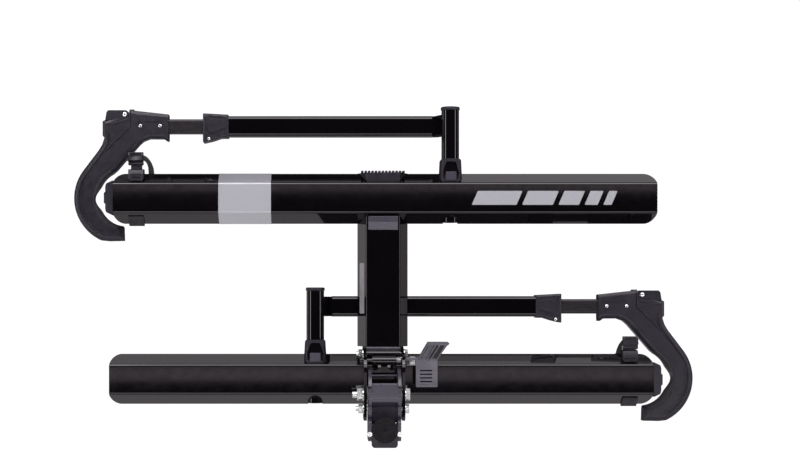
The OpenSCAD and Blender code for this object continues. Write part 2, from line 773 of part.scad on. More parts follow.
at_hook(false) hook_body();  // lower_hook
at_hook(false) hook_lining();  // lower_hook_lining
at_hook(false) hook_screws();  // lower_hook_screws
at_hook(false) hook_lever();  // lower_hook_lever
at_tray(false) strap(27, 6);  // lower_strap
at_tray(false) buckle(6);  // lower_buckle
at_tray(false) buckle_lever(6);  // lower_buckle_lever
at_tray(false) strap_pad();  // lower_strap_pad
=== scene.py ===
"""Looks of the folded-up hitch bike rack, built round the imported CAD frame.

Places are metres in the frame, +Y towards the car and +Z up. Outlines of pieces are millimetres.
"""

import json
import math

import bmesh
import bpy
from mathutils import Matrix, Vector


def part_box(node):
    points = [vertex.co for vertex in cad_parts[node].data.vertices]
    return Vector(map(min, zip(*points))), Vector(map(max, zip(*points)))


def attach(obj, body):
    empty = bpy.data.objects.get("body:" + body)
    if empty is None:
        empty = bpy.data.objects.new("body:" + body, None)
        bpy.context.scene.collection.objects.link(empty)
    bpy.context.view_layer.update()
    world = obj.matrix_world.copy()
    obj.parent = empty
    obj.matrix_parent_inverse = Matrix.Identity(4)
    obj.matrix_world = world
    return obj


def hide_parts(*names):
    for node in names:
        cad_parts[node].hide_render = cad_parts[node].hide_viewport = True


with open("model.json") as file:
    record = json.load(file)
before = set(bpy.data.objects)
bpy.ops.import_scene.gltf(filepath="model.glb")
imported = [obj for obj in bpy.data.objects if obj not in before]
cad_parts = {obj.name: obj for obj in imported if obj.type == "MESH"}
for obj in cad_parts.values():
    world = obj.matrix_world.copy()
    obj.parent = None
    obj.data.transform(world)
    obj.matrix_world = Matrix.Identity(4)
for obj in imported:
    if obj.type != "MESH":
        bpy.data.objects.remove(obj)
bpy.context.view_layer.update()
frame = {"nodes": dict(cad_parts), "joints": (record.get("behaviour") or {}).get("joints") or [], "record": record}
MM = 0.001


# ---------- places that come from the frame ----------
def middle(node):
    low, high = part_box(node)
    return (low + high) / 2


WEB_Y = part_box("upper_tray")[0].y
JOINT = {j["name"]: j for j in frame["joints"]}
BODY = {node: body for body, nodes in frame["record"]["behaviour"]["bodies"].items() for node in nodes}
SLOT = {sub["node"]: sub["material_slot"] for sub in frame["record"]["subparts"]}
SIDES = {"upper": 1, "lower": -1}
TRAY_Z = {side: middle(f"{side}_tray").z for side in SIDES}
HOOK_PIN = (712, 25.5)      # the hook lever's pin in the hook's own frame: outwards, then up
ARM_Y = 85                  # middle plane of the arm and hook, from the tray's web
POST_X = 146                # posts from the spine's middle


def tray_place(side):
    """Turns tray millimetres (x away from the hook, y from the web, z from the middle) into metres."""
    return lambda x, y, z: Vector((SIDES[side] * x * MM, WEB_Y + y * MM, TRAY_Z[side] + z * MM))


def hook_place(side):
    """Turns hook millimetres (outwards along the arm, y from the web, up) into the frame's metres."""
    pin = Vector(JOINT[f"release_{side}"]["pos_m"])
    return lambda u, y, w: pin + Vector((SIDES[side] * (HOOK_PIN[0] - u), y - ARM_Y, w - HOOK_PIN[1])) * MM


def arm_place(side):
    """Turns arm millimetres (outwards from the post, y from the web, up from its middle) into metres."""
    height = middle(f"{side}_arm").z
    return lambda u, y, w: Vector((SIDES[side] * (POST_X - u) * MM, WEB_Y + y * MM, height + w * MM))


def joint_place(name):
    """Millimetres from a joint's axis point, along the frame's own axes."""
    at = Vector(JOINT[name]["pos_m"])
    return lambda x, y, z: at + Vector((x, y, z)) * MM


# ---------- camera, floor and lights ----------
LENS, SENSOR = 73.4, 36.0
CAMERA_AT = Vector((-0.123, WEB_Y - 3.5, 0.283))
VIEW_MIDDLE = Vector((0.036, WEB_Y, 0.4173))  # what the picture's middle shows, on the plane of the trays
FLOOR_Z = -0.45
WHITE = (1, 0.935, 0.985)   # tint of the studio's lights
CARD = (1, 0.87, 0.955)     # tint of the cards behind the camera


def make_camera():
    data = bpy.data.cameras.new("camera")
    data.lens, data.sensor_width = LENS, SENSOR
    camera = bpy.data.objects.new("camera", data)
    bpy.context.scene.collection.objects.link(camera)
    camera.location = CAMERA_AT
    camera.rotation_euler = (math.pi / 2, 0, 0)
    seen = (WEB_Y - CAMERA_AT.y) * SENSOR / LENS
    data.shift_x = (VIEW_MIDDLE.x - CAMERA_AT.x) / seen
    data.shift_y = (VIEW_MIDDLE.z - CAMERA_AT.z) / seen
    bpy.context.scene.camera = camera


def softbox(name, at, to, size, radiance, colour=WHITE, gloss_only=False):
    """A rectangular light of an even brightness, aimed at a point, which may show in gloss only."""
    data = bpy.data.lights.new(name, "AREA")
    data.shape, data.size, data.size_y = "RECTANGLE", size[0], size[1]
    data.energy, data.color = radiance * math.pi * size[0] * size[1], colour
    light = bpy.data.objects.new(name, data)
    bpy.context.scene.collection.objects.link(light)
    light.location = at
    light.rotation_euler = (Vector(to) - Vector(at)).to_track_quat("-Z", "Y").to_euler()
    light.visible_camera = False
    light.visible_diffuse = not gloss_only


def make_world():
    """White where the camera sees it, and dim where it lights or is mirrored, as in a big dark room."""
    world = bpy.data.worlds.new("studio")
    bpy.context.scene.world = world
    world.use_nodes = True
    nt = world.node_tree
    nt.nodes.clear()
    path = nt.nodes.new("ShaderNodeLightPath")
    shader = None
    for strength, ray in ((0.16, None), (0.02, "Is Glossy Ray"), (1.05, "Is Camera Ray")):
        background = nt.nodes.new("ShaderNodeBackground")
        background.inputs["Color"].default_value = (1, 1, 1, 1)
        background.inputs["Strength"].default_value = strength
        if ray is None:
            shader = background
            continue
        mix = nt.nodes.new("ShaderNodeMixShader")
        nt.links.new(path.outputs[ray], mix.inputs[0])
        nt.links.new(shader.outputs[0], mix.inputs[1])
        nt.links.new(background.outputs[0], mix.inputs[2])
        shader = mix
    nt.links.new(shader.outputs[0], nt.nodes.new("ShaderNodeOutputWorld").inputs[0])


def make_floor():
    bpy.ops.mesh.primitive_plane_add(size=7, location=(0, 0.4, FLOOR_Z))
    floor = bpy.context.object
    floor.name = "floor"
    m = bpy.data.materials.new("floor")
    m.use_nodes = True
    nt = m.node_tree
    shader = nt.nodes["Principled BSDF"]
    shader.inputs["Base Color"].default_value = (0.55, 0.55, 0.55, 1)
    shader.inputs["Roughness"].default_value = 0.9
    shader.inputs["Specular IOR Level"].default_value = 0
    shader.inputs["Emission Color"].default_value = (1, 1, 1, 1)
    shader.inputs["Emission Strength"].default_value = 1.0
    mirrored = nt.nodes.new("ShaderNodeEmission")
    mirrored.inputs["Color"].default_value = (*WHITE, 1)
    mirrored.inputs["Strength"].default_value = 0.74
    mix, path = nt.nodes.new("ShaderNodeMixShader"), nt.nodes.new("ShaderNodeLightPath")
    nt.links.new(path.outputs["Is Glossy Ray"], mix.inputs[0])
    nt.links.new(shader.outputs[0], mix.inputs[1])
    nt.links.new(mirrored.outputs[0], mix.inputs[2])
    nt.links.new(mix.outputs[0], nt.nodes["Material Output"].inputs["Surface"])
    floor.data.materials.append(m)


def make_lights():
    object_middle = (0, WEB_Y, 0.35)
    softbox("key", (-1.5, -2.4, 2.5), object_middle, (1.2, 1.0), 8)
    softbox("strip", (0, -2.4, 2.2), object_middle, (4.6, 1.6), 3.4)
    softbox("high_line", (0, -1.7, 3.1), object_middle, (4.6, 1.5), 4.5, gloss_only=True)
    softbox("low_line", (0, -2.1, -0.43), object_middle, (4.2, 0.4), 4, gloss_only=True)
    softbox("low_strip", (0, -1.9, -0.42), object_middle, (4.2, 0.5), 1.7)
    softbox("fill", (2.2, -2.4, 1.8), object_middle, (0.9, 1.0), 4)
    softbox("overhead", (0, 1.15, 2.5), object_middle, (3.6, 1.2), 1.1)
    softbox("left", (-2.3, 0.95, 0.5), object_middle, (0.9, 2.0), 1.1)
    softbox("right", (2.3, 0.95, 0.5), object_middle, (0.9, 2.0), 0.35)
    softbox("left_front", (-2.4, -1.1, 0.6), object_middle, (0.45, 1.8), 5)
    softbox("right_front", (2.4, -1.1, 0.6), object_middle, (0.45, 1.8), 4)
    card_x, card_y, card_width = CAMERA_AT.x + 0.2, CAMERA_AT.y - 0.05, 3.0
    for name, z, height, radiance in (("low_card", -0.03, 0.075, 1.05), ("high_card", 0.785, 0.05, 0.95)):
        softbox(name, (card_x, card_y, z), (card_x, 0, z), (card_width, height), radiance, CARD)


make_camera()
make_world()
make_floor()
make_lights()
bpy.context.scene.view_settings.view_transform = "Standard"


# ---------- materials ----------
class Nodes:
    """Short calls for building one material's node tree."""

    def __init__(self, name):
        self.material = bpy.data.materials.new(name)
        self.material.use_nodes = True
        self.tree = self.material.node_tree
        self.shader = self.tree.nodes["Principled BSDF"]
        self.where = self.tree.nodes.new("ShaderNodeTexCoord").outputs["Object"]

    def link(self, a, b):
        self.tree.links.new(a, b)

    def noise(self, scale, detail=3, stretch=None):
        node = self.tree.nodes.new("ShaderNodeTexNoise")
        node.inputs["Scale"].default_value = scale
        node.inputs["Detail"].default_value = detail
        where = self.where
        if stretch:
            mapping = self.tree.nodes.new("ShaderNodeMapping")
            mapping.inputs["Scale"].default_value = stretch
            self.link(where, mapping.inputs["Vector"])
            where = mapping.outputs["Vector"]
        self.link(where, node.inputs["Vector"])
        return node.outputs["Fac"]

    def cells(self, scale):
        node = self.tree.nodes.new("ShaderNodeTexVoronoi")
        node.inputs["Scale"].default_value = scale
        self.link(self.where, node.inputs["Vector"])
        return node.outputs["Distance"]

    def ramp(self, value, stops):
        node = self.tree.nodes.new("ShaderNodeValToRGB")
        low, high = node.color_ramp.elements
        (low.position, low_colour), (high.position, high_colour) = stops
        low.color, high.color = (*low_colour, 1), (*high_colour, 1)
        self.link(value, node.inputs["Fac"])
        return node.outputs["Color"]

    def span(self, value, low, high):
        node = self.tree.nodes.new("ShaderNodeMapRange")
        node.inputs["From Min"].default_value, node.inputs["From Max"].default_value = 0.3, 0.7
        node.inputs["To Min"].default_value, node.inputs["To Max"].default_value = low, high
        self.link(value, node.inputs["Value"])
        return node.outputs["Result"]

    def bump(self, *layers):
        """Layers of (height, depth in metres), from coarse to fine."""
        normal = None
        for height, depth in layers:
            node = self.tree.nodes.new("ShaderNodeBump")
            node.inputs["Distance"].default_value = depth
            self.link(height, node.inputs["Height"])
            if normal:
                self.link(normal, node.inputs["Normal"])
            normal = node.outputs["Normal"]
        self.link(normal, self.shader.inputs["Normal"])

    def finish(self, colour, rough, metallic=0.0, coat=0.0, coat_rough=0.05, specular=0.5):
        self.link(colour, self.shader.inputs["Base Color"])
        self.link(rough, self.shader.inputs["Roughness"])
        self.shader.inputs["Metallic"].default_value = metallic
        self.shader.inputs["Coat Weight"].default_value = coat
        self.shader.inputs["Coat Roughness"].default_value = coat_rough
        self.shader.inputs["Specular IOR Level"].default_value = specular
        return self.material


def shade(colour, by):
    return tuple(min(1, c * by) for c in colour)


def paint(name, colour, rough, peel):
    """Powder coat: orange peel, faint cloudiness, and fine dust in the gloss."""
    n = Nodes(name)
    cloud = n.noise(9, 4)
    dust = n.noise(2600, 2)
    tone = n.ramp(cloud, ((0.35, shade(colour, 0.8)), (0.7, shade(colour, 1.25))))
    n.bump((n.noise(420, 2), peel), (dust, peel * 0.25))
    return n.finish(tone, n.span(n.noise(55, 5), rough * 0.8, rough * 1.3))


def plastic(name, colour, rough, grain, specular=0.5):
    """Moulded plastic: spark-eroded grain, flow marks and lightly rubbed patches."""
    n = Nodes(name)
    tone = n.ramp(n.noise(38, 5), ((0.3, shade(colour, 0.82)), (0.72, shade(colour, 1.2))))
    n.bump((n.noise(160, 2), grain * 0.8), (n.cells(1500), grain))
    return n.finish(tone, n.span(n.noise(90, 4), rough * 0.85, rough * 1.15), specular=specular)


def rubber(name, colour, specular=0.35):
    n = Nodes(name)
    tone = n.ramp(n.noise(60, 6), ((0.3, shade(colour, 0.75)), (0.75, shade(colour, 1.5))))
    n.bump((n.noise(240, 3), 0.00008), (n.cells(2200), 0.00005))
    return n.finish(tone, n.span(n.noise(130, 4), 0.6, 0.82), specular=specular)


def metal(name, colour, rough, stretch, grain):
    """Drawn or plated metal: streaks along the drawing, and slight staining."""
    n = Nodes(name)
    streaks = n.noise(900, 4, stretch)
    tone = n.ramp(n.noise(120, 5), ((0.3, shade(colour, 0.86)), (0.75, shade(colour, 1.08))))
    n.bump((n.noise(300, 2), grain), (streaks, grain * 0.6))
    return n.finish(tone, n.span(streaks, rough * 0.8, rough * 1.35), metallic=1)


def anodised(name, colour):
    n = Nodes(name)
    streaks = n.noise(1100, 3, (0.03, 1, 1))
    tone = n.ramp(n.noise(70, 4), ((0.3, shade(colour, 0.9)), (0.7, shade(colour, 1.15))))
    n.bump((streaks, 0.00001))
    return n.finish(tone, n.span(streaks, 0.26, 0.4), metallic=0.75)


def film(name, colour):
    """Reflective film: tiny glass beads in a hexagon-like cell, under a clear face."""
    n = Nodes(name)
    tone = n.ramp(n.cells(900), ((0.1, shade(colour, 0.93)), (0.7, shade(colour, 1.07))))
    n.bump((n.noise(30, 3), 0.0001), (n.cells(900), 0.00001))
    return n.finish(tone, n.span(n.noise(200, 3), 0.32, 0.45), metallic=0.25, coat=0.6, coat_rough=0.12)


MATERIALS = {
    "gloss_black": paint("gloss_black", (0.0016, 0.0012, 0.0018), 0.055, 0.0000016),
    "satin_black": paint("satin_black", (0.03, 0.0275, 0.0405), 0.3, 0.00002),
    "charcoal_plastic": plastic("charcoal_plastic", (0.0118, 0.0106, 0.0158), 0.35, 0.00004, 0.27),
    "grey_plastic": plastic("grey_plastic", (0.078, 0.075, 0.09), 0.42, 0.00004, 0.35),
    "rubber": rubber("rubber", (0.0095, 0.0085, 0.0115)),
    "dull_black": rubber("dull_black", (0.0052, 0.0045, 0.006), 0.12),
    "zinc": metal("zinc", (0.6, 0.64, 0.62), 0.22, (1, 1, 0.2), 0.0000015),
    "anodised": anodised("anodised", (0.026, 0.024, 0.026)),
    "bare_steel": metal("bare_steel", (0.42, 0.42, 0.43), 0.34, (0.1, 1, 1), 0.00001),
    "silver_band": film("silver_band", (0.29, 0.3, 0.318)),
    "nylon": plastic("nylon", (0.74, 0.72, 0.66), 0.5, 0.00002),
    "label": plastic("label", (0.16, 0.158, 0.165), 0.55, 0.00001),
    "wedge": metal("wedge", (0.4, 0.41, 0.43), 0.42, (1, 1, 1), 0.00004),
}


# ---------- mesh building ----------
SHARP = math.radians(32)    # edges with a bigger angle than this are creases


def link_piece(name, mesh, body, slot, *nodes, look=None):
    """Makes a piece of a mesh: its shading, its material (by look, else by slot), its body, and hides the CAD
    nodes that it stands for.
    """
    bm = bmesh.new()
    bm.from_mesh(mesh)
    bmesh.ops.remove_doubles(bm, verts=bm.verts, dist=2e-6)
    bmesh.ops.recalc_face_normals(bm, faces=bm.faces)
    bm.to_mesh(mesh)
    bm.free()
    for face in mesh.polygons:
        face.use_smooth = True
    mesh.set_sharp_from_angle(angle=SHARP)
    obj = bpy.data.objects.new(name, mesh)
    bpy.context.scene.collection.objects.link(obj)
    mesh.materials.clear()
    mesh.materials.append(MATERIALS[look or slot])
    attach(obj, body)
    if nodes:
        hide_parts(*nodes)
    obj.modifiers.new("even", "WEIGHTED_NORMAL").keep_sharp = True
    return obj


def mesh_of(name, points, faces):
    mesh = bpy.data.meshes.new(name)
    mesh.from_pydata([tuple(p) for p in points], [], faces)
    return mesh


def joined(name, *meshes):
    """One mesh of several closed ones."""
    bm = bmesh.new()
    for mesh in meshes:
        bm.from_mesh(mesh)
    out = bpy.data.meshes.new(name)
    bm.to_mesh(out)
    bm.free()
    return out


def loft(rings):
    """Points and faces of a tube through rings of equal length, with flat ends."""
    count = len(rings[0])
    points = [p for ring in rings for p in ring]
    faces = []
    for i in range(len(rings) - 1):
        a, b = i * count, (i + 1) * count
        faces += [(a + j, a + (j + 1) % count, b + (j + 1) % count, b + j) for j in range(count)]
    faces += [tuple(range(count)), tuple(range(len(points) - count, len(points)))]
    return points, faces


def area(outline):
    pairs = zip(outline, outline[1:] + outline[:1])
    return sum(a[0] * b[1] - b[0] * a[1] for a, b in pairs) / 2


def inset(outline, by):
    """Each corner of an anticlockwise outline, moved in along the bisector."""
    out = []
    for i, point in enumerate(outline):
        p, a, b = Vector(point), Vector(outline[i - 1]), Vector(outline[(i + 1) % len(outline)])
        before, after = (p - a).normalized(), (b - p).normalized()
        n1, n2 = Vector((-before.y, before.x)), Vector((-after.y, after.x))
        out.append(tuple(p + (n1 + n2) * (by / max(0.4, 1 + n1.dot(n2)))))
    return out


def slab(name, outline, y0, y1, place, rounding=1.0, steps=5):
    """A plate with this outline (x, z) from y0 to y1, with its front and back edges rounded."""
    outline = list(outline) if area(list(outline)) > 0 else list(outline)[::-1]
    quarter = [(rounding * (1 - math.sin(a)), rounding * (1 - math.cos(a)))
               for a in (math.pi / 2 * k / steps for k in range(steps + 1))]
    levels = [(d, y0 + h) for d, h in quarter] + [(d, y1 - h) for d, h in quarter[::-1]]
    rings = [[place(x, y, z) for x, z in inset(outline, d)] for d, y in levels]
    return mesh_of(name, *loft(rings))


def falls(outline, reach, depth, step):
    """A grid of (x, z, drop): how far a softly rounded face has dropped, by the distance from its outline."""
    edges = list(zip(outline, outline[1:] + outline[:1]))
    low, high = [[pick(p[i] for p in outline) for i in (0, 1)] for pick in (min, max)]

    def drop(x, z):
        near, inside = 1e9, False
        for (ax, az), (bx, bz) in edges:
            dx, dz = bx - ax, bz - az
            t = min(1, max(0, ((x - ax) * dx + (z - az) * dz) / (dx * dx + dz * dz)))
            near = min(near, math.hypot(x - ax - t * dx, z - az - t * dz))
            if (az > z) != (bz > z) and x < ax + (z - az) * dx / dz:
                inside = not inside
        short = max(0, 1 - (near if inside else -min(near, 2 * step)) / reach)
        return depth * short ** 2

    counts = [math.ceil((high[i] - low[i]) / step) + 5 for i in (0, 1)]
    xs, zs = ([low[axis] + step * (i - 2) for i in range(counts[axis])] for axis in (0, 1))
    return [[(x, z, drop(x, z)) for x in xs] for z in zs]


def pillow(name, grid, y0, y1, place):
    """A closed block between y0 and y1, its front and back dropped as the grid says."""
    wide, tall = len(grid[0]), len(grid)
    back = wide * tall
    points = [place(x, y0 + drop, z) for row in grid for x, z, drop in row]
    points += [place(x, y1 - drop, z) for row in grid for x, z, drop in row]
    faces = []
    for j in range(tall - 1):
        for i in range(wide - 1):
            a = j * wide + i
            faces += [tuple(a + layer + k for k in (0, 1, wide + 1, wide)) for layer in (0, back)]
    rim = list(range(wide)) + [j * wide + wide - 1 for j in range(1, tall)]
    rim += [(tall - 1) * wide + i for i in range(wide - 2, -1, -1)]
    rim += [j * wide for j in range(tall - 2, 0, -1)]
    for a, b in zip(rim, rim[1:] + rim[:1]):
        faces.append((a, b, b + back, a + back))
    return mesh_of(name, points, faces)


def block(name, low, high, place, rounding=0.6):
    """A small moulded block with rounded edges, between two corners."""
    outline = [(low[0], low[2]), (high[0], low[2]), (high[0], high[2]), (low[0], high[2])]
    return slab(name, fillet(outline, rounding), low[1], high[1], place, rounding * 0.6, 3)


def fillet(outline, radius, steps=4):
    """The outline with each corner rounded, by one radius or one per corner."""
    radii = radius if isinstance(radius, (list, tuple)) else [radius] * len(outline)
    out = []
    for i, r in enumerate(radii):
        p, a, b = Vector(outline[i]), Vector(outline[i - 1]), Vector(outline[(i + 1) % len(outline)])
        to_a, to_b = (a - p).normalized(), (b - p).normalized()
        half = to_a.angle(to_b) / 2
        if r == 0 or half > 1.55:
            out.append(tuple(p))
            continue
        reach = r / math.tan(half)
        start, end = p + to_a * reach, p + to_b * reach
        for k in range(steps + 1):
            t = k / steps
            out.append(tuple(start * (1 - t) ** 2 + p * 2 * t * (1 - t) + end * t ** 2))
    return out


def arc(centre, radius, start, end, steps=24):
    angles = (math.radians(start + (end - start) * i / steps) for i in range(steps + 1))
    return [(centre[0] + radius * math.cos(a), centre[1] + radius * math.sin(a)) for a in angles]


def smooth_path(points, steps=6):
    """A Catmull-Rom curve through 2-D points."""
    p = [Vector(v) for v in (points[0], *points, points[-1])]
    out = []
    for i in range(1, len(p) - 2):
        for k in range(steps):
            t = k / steps
            out.append(tuple(0.5 * (2 * p[i] + (p[i + 1] - p[i - 1]) * t
                       + (2 * p[i - 1] - 5 * p[i] + 4 * p[i + 1] - p[i + 2]) * t ** 2
                       + (3 * p[i] - p[i - 1] - 3 * p[i + 1] + p[i + 2]) * t ** 3)))
    return out + [tuple(p[-1])]


def groove(name, path, width, depth, face_y, place, lift=2.0):
    """A cutter along a 2-D path in a face at face_y: narrower at the bottom, and standing out by lift."""
    rings = []
    for i, point in enumerate(path):
        a, b = Vector(path[max(0, i - 1)]), Vector(path[min(len(path) - 1, i + 1)])
        along = (b - a).normalized()
        across = Vector((-along.y, along.x)) * width / 2
        rings.append([place(point[0] + across.x * s, y, point[1] + across.y * s)
                      for s, y in ((1, face_y - lift), (1, face_y), (0.5, face_y + depth),
                                   (-0.5, face_y + depth), (-1, face_y), (-1, face_y - lift))])
    return mesh_of(name, *loft(rings))


def lathe(name, profile, place, steps=64, wobble=None):
    """Turned shape round the Y axis: profile of (radius, y), with an optional change of radius by angle."""
    rings = []
    for radius, y in profile:
        ring = []
        for k in range(steps):
            a = 2 * math.pi * k / steps
            r = radius + (wobble(a, radius, y) if wobble else 0)
            ring.append(place(r * math.cos(a), y, r * math.sin(a)))
        rings.append(ring)
    return mesh_of(name, *loft(rings))


def coil(name, radius, wire, pitch, turns, place):
    """A round wire wound along X."""
    path = [(k * pitch / 32, radius * math.cos(2 * math.pi * k / 32), radius * math.sin(2 * math.pi * k / 32))
            for k in range(int(turns * 32) + 1)]
    rings = []
    for i, point in enumerate(path):
        along = (Vector(path[min(len(path) - 1, i + 1)]) - Vector(path[max(0, i - 1)])).normalized()
        side = along.cross(Vector((1, 0, 0))).normalized()
        up = side.cross(along)
        rings.append([place(*(Vector(point) + wire * (side * math.cos(a) + up * math.sin(a))))
                      for a in (2 * math.pi * k / 12 for k in range(12))])
    return mesh_of(name, *loft(rings))


def thread(name, radius, depth, pitch, start, end, point):
    """A screw thread from start to end; point(a, b, along) turns two cross axes and a length into a place."""
    rings = []
    steps, per_turn = 24, 6
    for i in range(int((end - start) / pitch * per_turn) + 1):
        along = start + i * pitch / per_turn
        fade = min(1, (end - along) / pitch, (along - start) / pitch)
        ring = []
        for k in range(steps):
            phase = (i / per_turn - k / steps) % 1
            r = radius - depth * max(0, fade) * abs(2 * phase - 1) - (1 - max(0, fade)) * depth
            a = 2 * math.pi * k / steps
            ring.append(point(r * math.cos(a), r * math.sin(a), along))
        rings.append(ring)
    return mesh_of(name, *loft(rings))


def modified(name, source, *steps):
    """A copy of an object or mesh after modifiers, each given as (type, settings)."""
    mesh = source if isinstance(source, bpy.types.Mesh) else source.data
    obj = bpy.data.objects.new(name, mesh.copy())
    bpy.context.scene.collection.objects.link(obj)
    for kind, settings in steps:
        modifier = obj.modifiers.new(kind.lower(), kind)
        for key, value in settings.items():
            setattr(modifier, key, value)
    bpy.context.view_layer.update()
    out = bpy.data.meshes.new_from_object(obj.evaluated_get(bpy.context.evaluated_depsgraph_get()))
    bpy.data.objects.remove(obj)
    return out


CLEAN = (("WELD", {"merge_threshold": 1e-5}),
         ("DECIMATE", {"decimate_type": "DISSOLVE", "angle_limit": 0.01}))


def bevel(width, segments=2, angle=40):
    """A bevel step for modified(): width in millimetres, on edges sharper than the angle."""
    return "BEVEL", {"width": width * MM, "segments": segments, "angle_limit": math.radians(angle)}


def carved(node, cuts=(), keeps=()):
    """A CAD node's mesh, kept inside some shapes and with others cut out."""
    mesh = modified(node, frame["nodes"][node], *CLEAN)
    for operation, tools in (("INTERSECT", keeps), ("DIFFERENCE", cuts)):
        for tool_mesh in tools:
            bm = bmesh.new()
            bm.from_mesh(tool_mesh)
            bmesh.ops.recalc_face_normals(bm, faces=bm.faces)
            bm.to_mesh(tool_mesh)
            bm.free()
            tool = bpy.data.objects.new("tool", tool_mesh)
            bpy.context.scene.collection.objects.link(tool)
            settings = {"operation": operation, "solver": "EXACT", "object": tool}
            mesh = modified(node, mesh, ("BOOLEAN", settings))
            bpy.data.objects.remove(tool)
    return mesh


def soften(obj, width, segments=3):
    """Rounds an object's sharp edges with modifiers, and leaves its mesh as it is."""
    for face in obj.data.polygons:
        face.use_smooth = True
    obj.modifiers.new("weld", "WELD").merge_threshold = 1e-5
    flat = obj.modifiers.new("flat", "DECIMATE")
    flat.decimate_type, flat.angle_limit = "DISSOLVE", 0.01
    rounding = obj.modifiers.new("bevel", "BEVEL")
    rounding.width, rounding.segments, rounding.angle_limit = width * MM, segments, SHARP
    rounding.harden_normals = True
    obj.modifiers.new("even", "WEIGHTED_NORMAL").keep_sharp = True


# ---------- hooks ----------
MOUTH, BACK, BACK_R = (710, -157.5), (722, -157.5), 101.5
HOOK_FACE, HOOK_REAR = ARM_Y - 17, ARM_Y + 17
RIM = 13                # from the hook's outer edge to the middle of the groove along it


def hook_rim(by):
    """The hook's outer edge, moved in, from its head to its tip."""
    return smooth_path([(746, -15), (752 - by / 3, -42)]) + arc(BACK, BACK_R - by, 37, -62, 40)


def hook_outline():
    """The hook's side view, its lining included, from the tube's end round the head to the tip and back."""
    shell = [(606, -33), (606, 28), (690, 36.6), (703, 38.6), (711, 33.6), (755, 14.8), (762, 12), (762, -20),
             (758.2, -25), (763, -40)]
    tip = [(748.5, -252), (713.6, -251.2), (714.6, -220)]
    neck = [(730.5, -96.5), (680.7, -39), (672, -33), (658, -27.6), (627, -27.8), (620, -33)]
    return shell + arc(BACK, BACK_R, 38, -65, 24) + tip + arc(MOUTH, 60.4, -83, 61, 24) + neck


HOOK_FALLS = falls(hook_outline(), reach=12, depth=5, step=2.5)
PROUD = 0.05            # how far a rounding tool stands off the faces that it leaves flat


def hook_envelope(place):
    """A block just past the hook's faces, with their rounded edges."""
    return pillow("soft", HOOK_FALLS, HOOK_FACE - PROUD, HOOK_REAR + PROUD, place)


def make_lining(side):
    """The rubber lining, rounded with the hook that holds it."""
    node = f"{side}_hook_lining"
    mesh = carved(node, (), (hook_envelope(hook_place(side)),))
    link_piece(f"{side}_lining_pad", mesh, BODY[node], SLOT[node], node)


def make_hook(side):
    place, node = hook_place(side), f"{side}_hook"
    seam = smooth_path([(699, 33), (699, 6), (701, -5), (710, -12), (719, -22), (736, -37), (747, -49),
                        (764, -66), (781, -90)])
    panel = fillet([(627, -7), (682, -7), (682, 10), (627, 10)], 4)
    cuts = [groove("rim", hook_rim(RIM), 4.2, 2.2, HOOK_FACE, place),
            groove("line", arc(BACK, BACK_R - RIM - 5, 24, -64, 40), 1.2, 0.9, HOOK_FACE, place),
            groove("seam", seam, 1.7, 2.2, HOOK_FACE, place),
            slab("panel", panel, HOOK_FACE - 2, HOOK_FACE + 1.6, place, 0.3, 2)]
    mesh = carved(node, cuts, (hook_envelope(place),))
    mesh = modified(node, mesh, bevel(0.5))
    link_piece(f"{side}_hook_shell", mesh, BODY[node], SLOT[node], node)


def make_lever_trim(side):
    """The raised band along the head, under the lever."""
    place, node = hook_place(side), f"{side}_hook_lever"
    outline = fillet([(706, 17.5), (722, 12.5), (737, 8.8), (750, 7.5), (751, 2.8), (737, 3.4), (722, 6.6),
                      (703, 12)], [2, 0, 0, 1, 1, 0, 0, 2])
    band = slab("band", outline, HOOK_FACE - 1.2, HOOK_FACE + 2, place, 0.9, 4)
    link_piece(f"{side}_lever_band", band, BODY[f"{side}_hook"], SLOT[node])


def screw_head(name, place, at, radius, proud, depth=2.5):
    """A domed screw head facing the viewer, with a round socket in it."""
    u, y, w = at
    profile = [(0.01, 1.9), (radius * 0.38, 1.9), (radius * 0.4, -0.8 * proud), (radius * 0.55, -proud),
               (radius * 0.85, -0.7 * proud), (radius, -0.15 * proud), (radius, depth), (0.01, depth)]
    return lathe(name, [(r, y + h) for r, h in profile], lambda a, b, c: place(u + a, b, w + c), 40)


def make_hook_screws(side):
    place, node = hook_place(side), f"{side}_hook_screws"
    heads = [screw_head("head", place, (u, HOOK_FACE + 1, 0.5), 4, 2.2) for u in (634.7, 678)]
    heads.append(screw_head("pin", place, (HOOK_PIN[0], HOOK_FACE - 1, HOOK_PIN[1]), 5.2, 2))
    link_piece(f"{side}_hook_screw_heads", joined("heads", *heads), BODY[node], SLOT[node], node)


